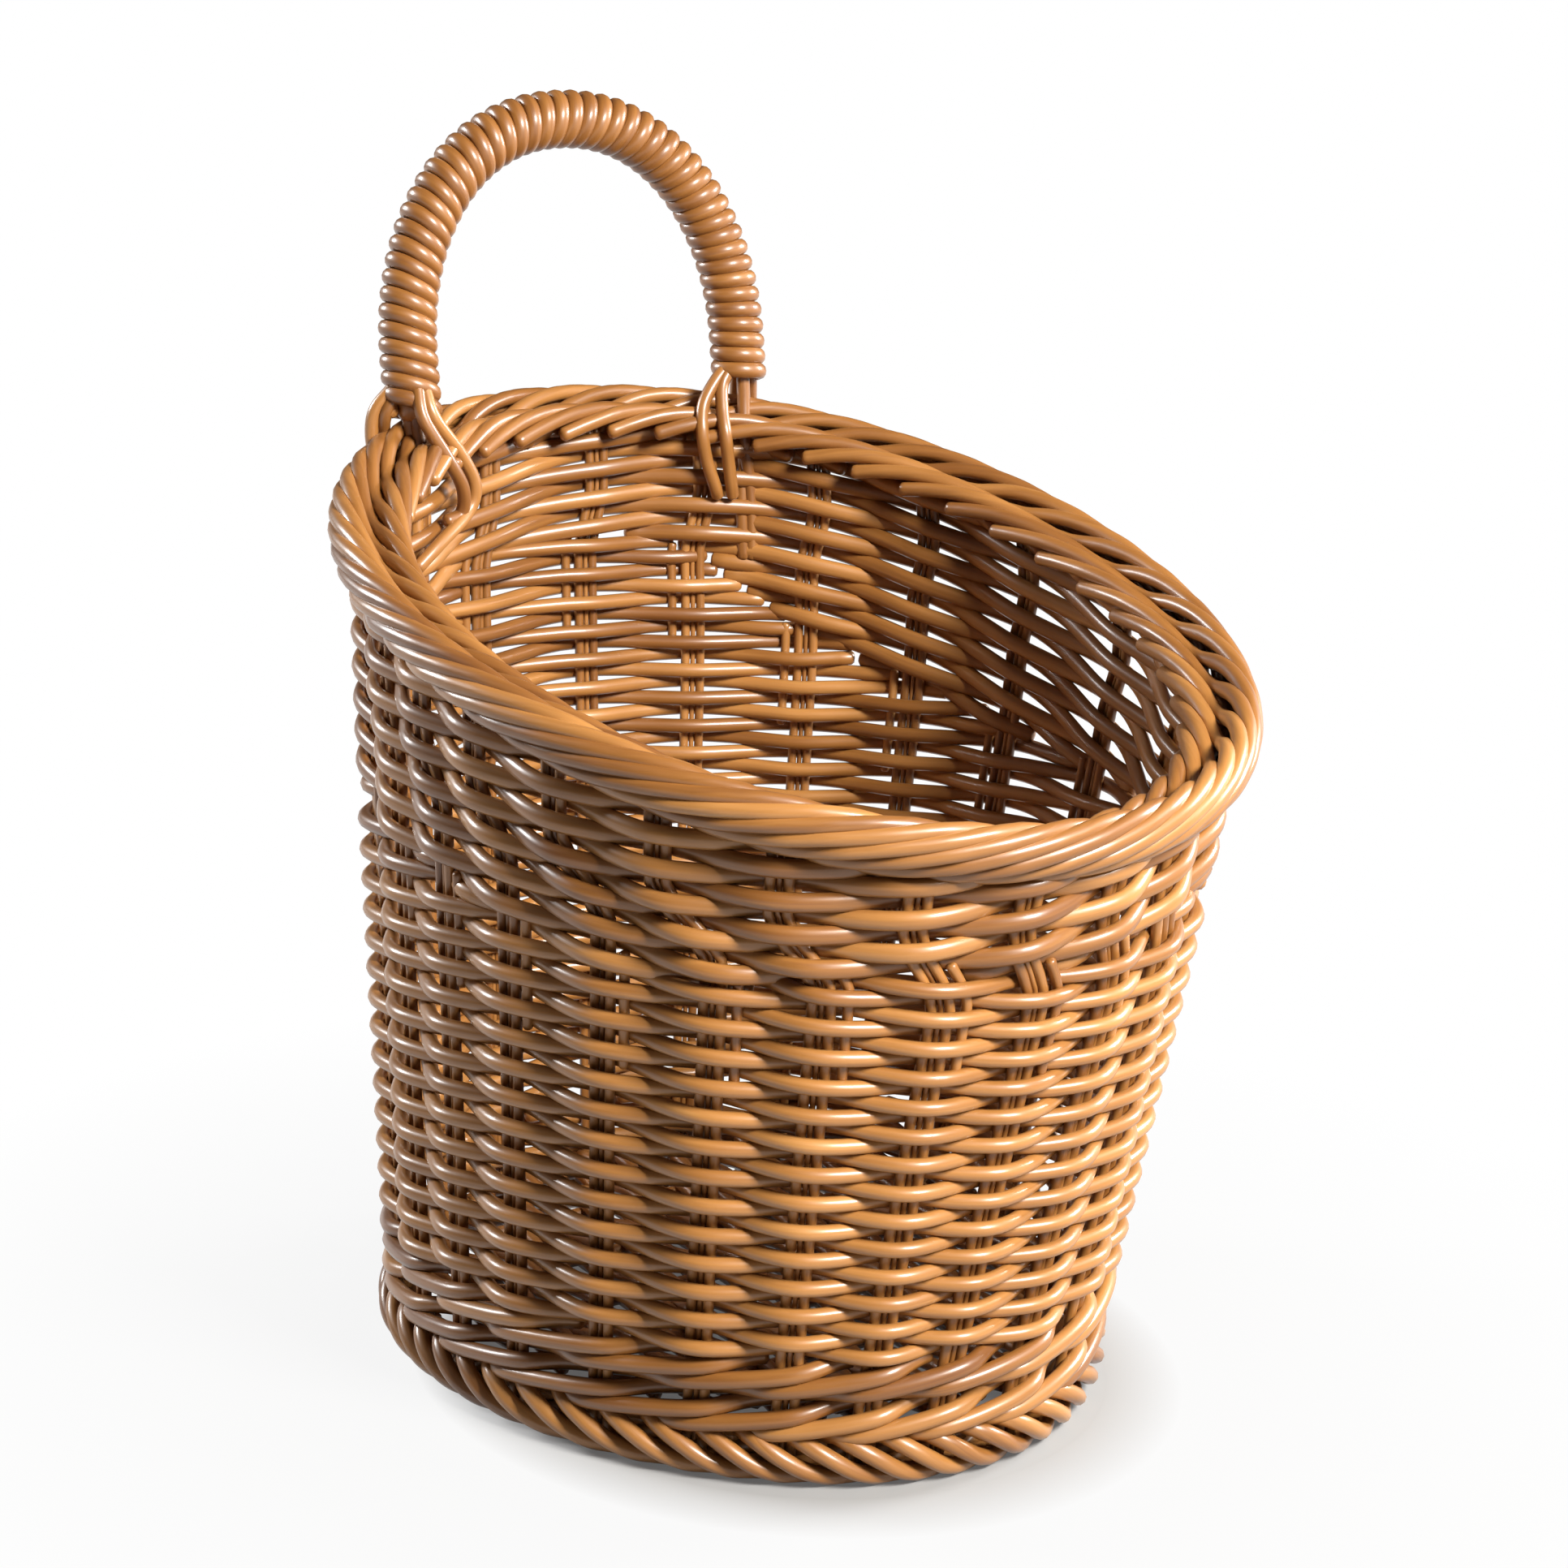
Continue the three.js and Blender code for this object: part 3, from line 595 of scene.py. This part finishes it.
stick_span = (BACK_REACH + FLOOR_PLAN["front"]) * STICK_SPREAD
stick_y = MIDDLE_STICK_Y + stick_span * (np.arange(BASE_STICKS) / (BASE_STICKS - 1) - 0.5)
for y in stick_y:
    x = np.linspace(-1, 1, 9) * (half_width_at(y) - STICK_END)
    flat_strand(x, y, BASE_MIDDLE, STICK_DIAMETER)
for row, x in enumerate(np.arange(-BASE_REACH, BASE_REACH + 1, BASE_ROW)):
    inside = np.flatnonzero(half[:, 0] > abs(x) + 1)
    if len(inside) >= LEAST_OUTLINE:
        y = np.linspace(half[inside[0], 1], half[inside[-1], 1], 80)
        swing = BASE_SWING * np.cos(np.pi * ((y - stick_y[0]) / (stick_y[1] - stick_y[0]) + row))
        flat_strand(x, y, BASE_MIDDLE + swing, STRAND)
base.make("strand", "base_panel", *[f"base_stick_{k + 1:02d}" for k in range(BASE_STICKS)])

# %% [markdown]
# ## The handle
# A bundle of strands is bent into a hoop that leans back from its two feet. Its line is a
# superellipse on two short straight legs, measured out evenly, so that the winding's turns get
# the same width all the way.

# %% The hoop's line
HANDLE_HALF, HANDLE_SPRING, HANDLE_ARCH, HANDLE_POWER = 58.6, 21.5, 70.6, 2.11
HANDLE_LEAN = math.radians(6.6)
HANDLE_FOOT_Y, HANDLE_FOOT_Z = 92.7, 269.7
WIND_TURNS, WIND_LOW_LEFT, WIND_LOW_RIGHT = 48, 5.0, 10.0
HOOP_POINTS, ARCH_POINTS, LEG_POINTS, HOOP_SOFTNESS = 2000, 1500, 59, 12

back_stations = np.linspace(np.pi / 2, np.pi, 4001)
wall_half = wall(back_stations, 0.0, rim(back_stations))[:, 0]
FOOT_T = np.interp(-HANDLE_HALF, -wall_half, back_stations)


def hoop(angle):
    """Superellipse arch between the legs: x = -a |cos|^(2/p), up = spring + b |sin|^(2/p)."""
    power = 2 / HANDLE_POWER
    across = -HANDLE_HALF * np.sign(np.cos(angle)) * np.abs(np.cos(angle)) ** power
    up = HANDLE_SPRING + HANDLE_ARCH * np.abs(np.sin(angle)) ** power
    return across, up


def leaning(across, up):
    """Point of the handle's plane, which leans back from the two feet."""
    return np.stack([across, HANDLE_FOOT_Y + up * math.sin(HANDLE_LEAN),
                     HANDLE_FOOT_Z + up * math.cos(HANDLE_LEAN)], axis=-1)


def hoop_line():
    """Evenly spaced points from the left leg's foot over the arch to the right leg's."""
    across, up = hoop(np.linspace(0, np.pi, ARCH_POINTS))
    left_leg = np.linspace(WIND_LOW_LEFT, HANDLE_SPRING, LEG_POINTS + 1)[:-1]
    right_leg = np.linspace(HANDLE_SPRING, WIND_LOW_RIGHT, LEG_POINTS + 1)[1:]
    leg = np.full(LEG_POINTS, HANDLE_HALF)
    across = np.concatenate([-leg, across, leg])
    up = np.concatenate([left_leg, up, right_leg])
    length = np.concatenate([[0], np.cumsum(np.hypot(np.diff(across), np.diff(up)))])
    even = np.linspace(0, length[-1], HOOP_POINTS)
    across, up = np.interp(even, length, across), np.interp(even, length, up)
    path = leaning(running_mean(across, HOOP_SOFTNESS), running_mean(up, HOOP_SOFTNESS))
    return path, length[-1]


hoop_path, hoop_length = hoop_line()
turn_width = hoop_length / WIND_TURNS
print("wound length", round(hoop_length), "mm, a turn each", round(turn_width, 2), "mm")

# %% [markdown]
# ## The winding
# One long strand is wound tightly round the bundle. It is a helix about the hoop's line: a circle
# in the plane square to the line, passed once for each turn. The turns slant at the left leg, as
# they do where a hand pulls them tight, and come level towards the right.

# %% Core and winding
CORE, CORE_STEP = 9.4, 20
WIND_STRAND, WIND_WIDTH = 4.3, turn_width * 1.05
TILT_LEFT, TILT_RIGHT = 0.27, -0.03

plane = np.array([0, math.cos(HANDLE_LEAN), -math.sin(HANDLE_LEAN)])
core_path = hoop_path[::CORE_STEP]
core = Piece("handle_core", 12)
core.strand(core_path, np.tile(plane, (len(core_path), 1)), CORE, sides=16)
winding = Piece("handle_winding", 26)
tangent = unit(np.gradient(hoop_path, axis=0))
side = np.cross(tangent, plane)
turn = 2 * np.pi * WIND_TURNS * np.linspace(0, 1, len(hoop_path))[:, None]
radial = side * np.cos(turn) + plane * np.sin(turn)
tilt = np.linspace(TILT_LEFT, TILT_RIGHT, len(hoop_path))[:, None]
wound = radial + tangent * np.tan(tilt) * np.cos(turn)
winding.strand(hoop_path + wound * (CORE + WIND_STRAND) / 2, radial, WIND_WIDTH, sides=12,
               flat=WIND_STRAND / WIND_WIDTH)
winding.make("strand", "handle_wrap")

# %% [markdown]
# ## The handle's feet
# Under the winding the bundle opens: two strands go down outside the rim, two go inside and are
# tucked into the weave, and the core goes down into the wall. A strand's course is a few given
# places, each with an offset from the wall, a rise over the rim and a splay along it.

# %% Strands that open at the feet
def curve_through(points, count=48):
    """Catmull-Rom curve through the points, with the end points repeated."""
    points = np.array(points, float)
    points = np.concatenate([2 * points[:1] - points[1:2], points, 2 * points[-1:] - points[-2:-1]])
    spans = len(points) - 3
    u = np.linspace(0, spans, count)
    k = np.minimum(u.astype(int), spans - 1)
    f = (u - k)[:, None]
    a, b, c, d = (points[k + n] for n in range(4))
    bend, twist = 2 * a - 5 * b + 4 * c - d, 3 * b - a - 3 * c + d
    return 0.5 * (2 * b + (c - a) * f + bend * f ** 2 + twist * f ** 3)


def foot_strand(piece, t, places, diameter=STRAND):
    """Strand from the winding's end over or through the rim, given by offset, rise and splay."""
    places = curve_through(places)
    path = wall(t, places[:, 0], rim(t) + places[:, 1], places[:, 2])
    out = np.repeat((wall(t, 1.0, rim(t)) - wall(t, 0.0, rim(t)))[None], len(path), axis=0)
    piece.strand(path, out, diameter, sides=12)


FEET = {
    ("left", "outer"): [
        [(6, 17, 3), (11, 10, 6), (12.5, 2, 6), (11, -8, 5), (8, -18, 4), (5.5, -28, 3)],
        [(4, 17, 2), (8, 9, 5), (11, 1, 1), (10.5, -9, -3), (8, -19, -4), (5.5, -29, -4)]],
    ("left", "inner"): [
        [(-2, 17, 3), (-5, 8, 5), (-10, -4, 0), (-12, -14, -6), (-10.5, -22, -8), (-8, -24, -3)],
        [(-3, 17, 1), (-7, 8, 2), (-11, -4, -7), (-13, -14, -12), (-11.5, -22, -10),
         (-9, -30, 4), (-6, -36, 12)]],
    ("right", "outer"): [
        [(4, 17, 2), (7, 11, 2.4), (11.5, 3, 3), (11.5, -5, 3.2), (8.5, -15, 3.2), (5.5, -25, 3)],
        [(4, 17, -2), (7, 11, -2.2), (11.5, 3, -1.8), (11.5, -5, -1.6), (8.5, -15, -1.4),
         (5.5, -25, -1.4)]],
    ("right", "inner"): [
        [(-1, 17, 4), (-5, 12, 8.5), (-9, 4.5, 12.6), (-12.4, -4, 13), (-10.5, -13, 12),
         (-8, -22, 9.6), (-6, -25, 9)],
        [(-2, 17, 2.5), (-5, 11, 6.4), (-9, 3, 6.6), (-12.4, -5, 5.6), (-10, -14, 5),
         (-8, -21, 4.4), (-6, -25, 4.2)]],
}
for (name, face), strands in FEET.items():
    foot_t = FOOT_T if name == "right" else 2 * np.pi - FOOT_T
    piece = Piece(f"lashing_{name}_{face}", 20 + 2 * (name == "left") + (face == "outer"))
    for places in strands:
        foot_strand(piece, foot_t, places)
    piece.make("strand", *[f"lashing_{name}_{face}_{k:02d}" for k in (1, 2)])
CORE_BESIDE = 1.4
for foot_t in (FOOT_T, 2 * np.pi - FOOT_T):
    for beside in (-CORE_BESIDE, CORE_BESIDE):
        foot_strand(core, foot_t, [(2 + beside, 18, 0), (1.5 + beside, 6, 0), (beside, -8, 0.0),
                                   (0, -26, beside), (0, -46, beside)])
core.make("strand", "handle_bow")

# %% [markdown]
# ## Materials as sums
# A material is a formula: tones, streaks and flecks are added and scaled before they become a
# colour. So a socket of a node tree is wrapped here in a small class, and sums and products of
# such sockets add the Math nodes that work them out.

# %% Shader sockets with arithmetic
class Shade:
    """The node tree of a material or of the sky."""

    def __init__(self, owner):
        owner.use_nodes = True
        self.tree = owner.node_tree
        self.tree.nodes.clear()

    def node(self, kind, settings=None, **inputs):
        """Adds a node, applies its settings, then fills its sockets with values or links."""
        node = self.tree.nodes.new(kind)
        for key, value in (settings or {}).items():
            if key == "stops":
                set_stops(node.color_ramp, value)
            else:
                setattr(node, key, value)
        for key, value in inputs.items():
            numbered = key[1:].isdigit()
            socket = node.inputs[int(key[1:]) if numbered else key.replace("_", " ")]
            if isinstance(value, Socket):
                self.tree.links.new(value.socket, socket)
            else:
                socket.default_value = value
        return node

    def out(self, node, name=0):
        """Output of a node by its number or name, ready for sums."""
        return Socket(self, node.outputs[name])

    def scaled(self, vector, scale):
        """A vector times another, by a Vector Math node."""
        product = self.node("ShaderNodeVectorMath", {"operation": "MULTIPLY"}, _0=vector, _1=scale)
        return self.out(product)

    def noise(self, vector, scale, detail):
        """Noise between 0 and 1 over a stretched map."""
        place = self.scaled(vector, scale)
        return self.out(self.node("ShaderNodeTexNoise", Vector=place, Scale=1.0, Detail=detail))


def set_stops(ramp, stops):
    """Places a colour ramp's stops: (position, colour) pairs."""
    while len(ramp.elements) > 1:
        ramp.elements.remove(ramp.elements[-1])
    for index, (position, color) in enumerate(stops):
        element = ramp.elements[0] if index == 0 else ramp.elements.new(position)
        element.position, element.color = position, (*color, 1)


class Socket:
    """A number on its way through the tree; sums and products of it add Math nodes."""

    def __init__(self, shade, socket):
        self.shade, self.socket = shade, socket

    def math(self, operation, a, b):
        node = self.shade.node("ShaderNodeMath", {"operation": operation}, _0=a, _1=b)
        return self.shade.out(node)

    def __add__(self, other):
        return self.math("ADD", self, other)

    def __sub__(self, other):
        return self.math("SUBTRACT", self, other)

    def __rsub__(self, other):
        return self.math("SUBTRACT", other, self)

    def __mul__(self, other):
        return self.math("MULTIPLY", self, other)

    __radd__ = __add__
    __rmul__ = __mul__


# %% [markdown]
# ## The finish
# Smooth honey-coloured strands with a satin lacquer. Each strand has its own tone, darker streaks
# run along it, and the lacquer gives a narrow highlight. The map runs along and round each strand
# in metres, so a streak is a noise that is stretched along it.

# %% Lacquered strand
STREAK_SCALE, PATCH_SCALE, FLECK_SCALE = (22, 420, 1), (14, 14, 1), (160, 900, 1)
HONEY_BROWNS = [(0.12, (0.115, 0.034, 0.006)), (0.42, (0.250, 0.098, 0.019)),
                (0.68, (0.400, 0.178, 0.045)), (0.95, (0.600, 0.330, 0.115))]


def lacquered_strand():
    """Tone of the strand, patches and streaks along it choose between four honey browns."""
    material = bpy.data.materials.new("lacquered_strand")
    shade = Shade(material)
    uv = shade.out(shade.node("ShaderNodeUVMap", {"uv_map": "along"}))
    tone = shade.out(shade.node("ShaderNodeAttribute", {"attribute_name": "tone"}), "Fac")
    streak = shade.noise(uv, STREAK_SCALE, 3.0)
    patch = shade.noise(uv, PATCH_SCALE, 2.0)
    fleck = shade.noise(uv, FLECK_SCALE, 2.0)
    level = tone * 0.32 + patch * 0.5 + streak * 0.4 - 0.13
    ramp = shade.node("ShaderNodeValToRGB", {"stops": HONEY_BROWNS}, Fac=level)
    bump = shade.node("ShaderNodeBump", Strength=0.25, Distance=0.0004, Height=fleck * 0.5 + streak)
    surface = shade.node("ShaderNodeBsdfPrincipled", Base_Color=shade.out(ramp),
                         Roughness=0.38 + fleck * 0.2, Normal=shade.out(bump),
                         Coat_Roughness=0.25, Coat_Weight=0.6, Specular_IOR_Level=0.5)
    shade.node("ShaderNodeOutputMaterial", Surface=shade.out(surface))
    return material


strand_finish = lacquered_strand()
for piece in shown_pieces():
    piece.data.materials.clear()
    piece.data.materials.append(strand_finish)

# %% [markdown]
# ## The floor
# A pale floor that shows almost white to the camera and keeps a soft shadow. Under the basket it
# stays dark, as a painted shade: the glow is cut back inside its footprint and the matt floor's
# real shadow shows there. Outward it turns into the background's white.

# %% Floor
FLOOR_SIZE = 12.0
FOOT_HALF_WIDTH, FOOT_HALF_DEPTH = 0.104, 0.122
FOOT_FROM, FOOT_TO, GLOW_IN_PAINTED_SHADE, WHITE_BESIDE = 0.86, 1.06, 0.1, 0.89
FADE_FROM, FADE_TO, WHITE_MORE = 1.2, 3.0, 0.11


def pale_floor():
    """Matt white mixed with a glow for rays that come from the camera or through the basket: the
    glow's share grows from the foot's edge outward, which paints shade under the basket over the
    matt part's real shadow."""
    material = bpy.data.materials.new("pale_floor")
    shade = Shade(material)
    path = shade.node("ShaderNodeLightPath")
    seen = (shade.out(path, "Is Camera Ray") + shade.out(path, "Is Glossy Ray")
            + shade.out(path, "Is Transmission Ray"))
    place = shade.out(shade.node("ShaderNodeTexCoord"), "Object")
    shares = shade.scaled(place, (1 / FOOT_HALF_WIDTH, 1 / FOOT_HALF_DEPTH, 0))
    length = shade.node("ShaderNodeVectorMath", {"operation": "LENGTH"}, _0=shares)
    away = shade.out(length, "Value")
    # Painted shade: the glow's share drops to a tenth inside the basket's footprint.
    under = shade.out(shade.node("ShaderNodeMapRange", Value=away, From_Min=FOOT_FROM,
                                 From_Max=FOOT_TO, To_Min=GLOW_IN_PAINTED_SHADE, To_Max=WHITE_BESIDE))
    fade = shade.out(shade.node("ShaderNodeMapRange", Value=away, From_Min=FADE_FROM,
                                From_Max=FADE_TO, To_Min=0.0, To_Max=WHITE_MORE)) + under
    matt = shade.out(shade.node("ShaderNodeBsdfDiffuse", Color=(0.3, 0.3, 0.3, 1)))
    white = shade.out(shade.node("ShaderNodeEmission", Color=(1, 1, 1, 1), Strength=1.0))
    mixed = shade.node("ShaderNodeMixShader", _0=seen * fade, _1=matt, _2=white)
    shade.node("ShaderNodeOutputMaterial", Surface=shade.out(mixed))
    return material


floor_mesh = bpy.data.meshes.new("floor")
corner = FLOOR_SIZE / 2
corners = [(-corner, -corner, 0), (corner, -corner, 0), (corner, corner, 0), (-corner, corner, 0)]
floor_mesh.from_pydata(corners, [], [(0, 1, 2, 3)])
floor = bpy.data.objects.new("floor", floor_mesh)
floor_mesh.materials.append(pale_floor())
bpy.context.scene.collection.objects.link(floor)

# %% [markdown]
# ## Lamps and sky
# The photograph's light comes softly from the upper front, with a second lamp at the right and a
# weaker one behind the left, which draws bright lines on the strands' edges. The sky is white to
# the camera and gives only a little light, so the inside of the basket stays dark.

# %% Lamps and sky
SKY_LIGHT, SKY_SEEN = 0.06, 1.0
LAMPS_AIM = Vector((0, 0, 0.16))


def soft_lamp(name, azimuth, elevation, distance, size, power, color=(1, 1, 1)):
    """Square area lamp on a sphere round the basket's middle, facing it."""
    a, e = math.radians(azimuth), math.radians(elevation)
    direction = Vector((math.sin(a) * math.cos(e), -math.cos(a) * math.cos(e), math.sin(e)))
    data = bpy.data.lights.new(name, "AREA")
    data.size, data.energy, data.color = size, power, color
    lamp = bpy.data.objects.new(name, data)
    lamp.location = LAMPS_AIM + direction * distance
    lamp.rotation_mode = "QUATERNION"
    lamp.rotation_quaternion = direction.to_track_quat("Z", "Y")
    bpy.context.scene.collection.objects.link(lamp)


soft_lamp("key", 10, 34, 1.3, 0.35, 44, (1, 0.97, 0.92))
soft_lamp("rim", -146, 24, 1.5, 0.4, 20)
soft_lamp("right", 80, 20, 1.4, 0.4, 24)

world = bpy.data.worlds.new("sky")
bpy.context.scene.world = world
sky = Shade(world)
seen = sky.out(sky.node("ShaderNodeLightPath"), "Is Camera Ray")
background = sky.node("ShaderNodeBackground", Color=(1, 1, 1, 1),
                      Strength=SKY_LIGHT + seen * (SKY_SEEN - SKY_LIGHT))
sky.node("ShaderNodeOutputWorld", Surface=sky.out(background))
bpy.context.scene.view_settings.view_transform = "Standard"
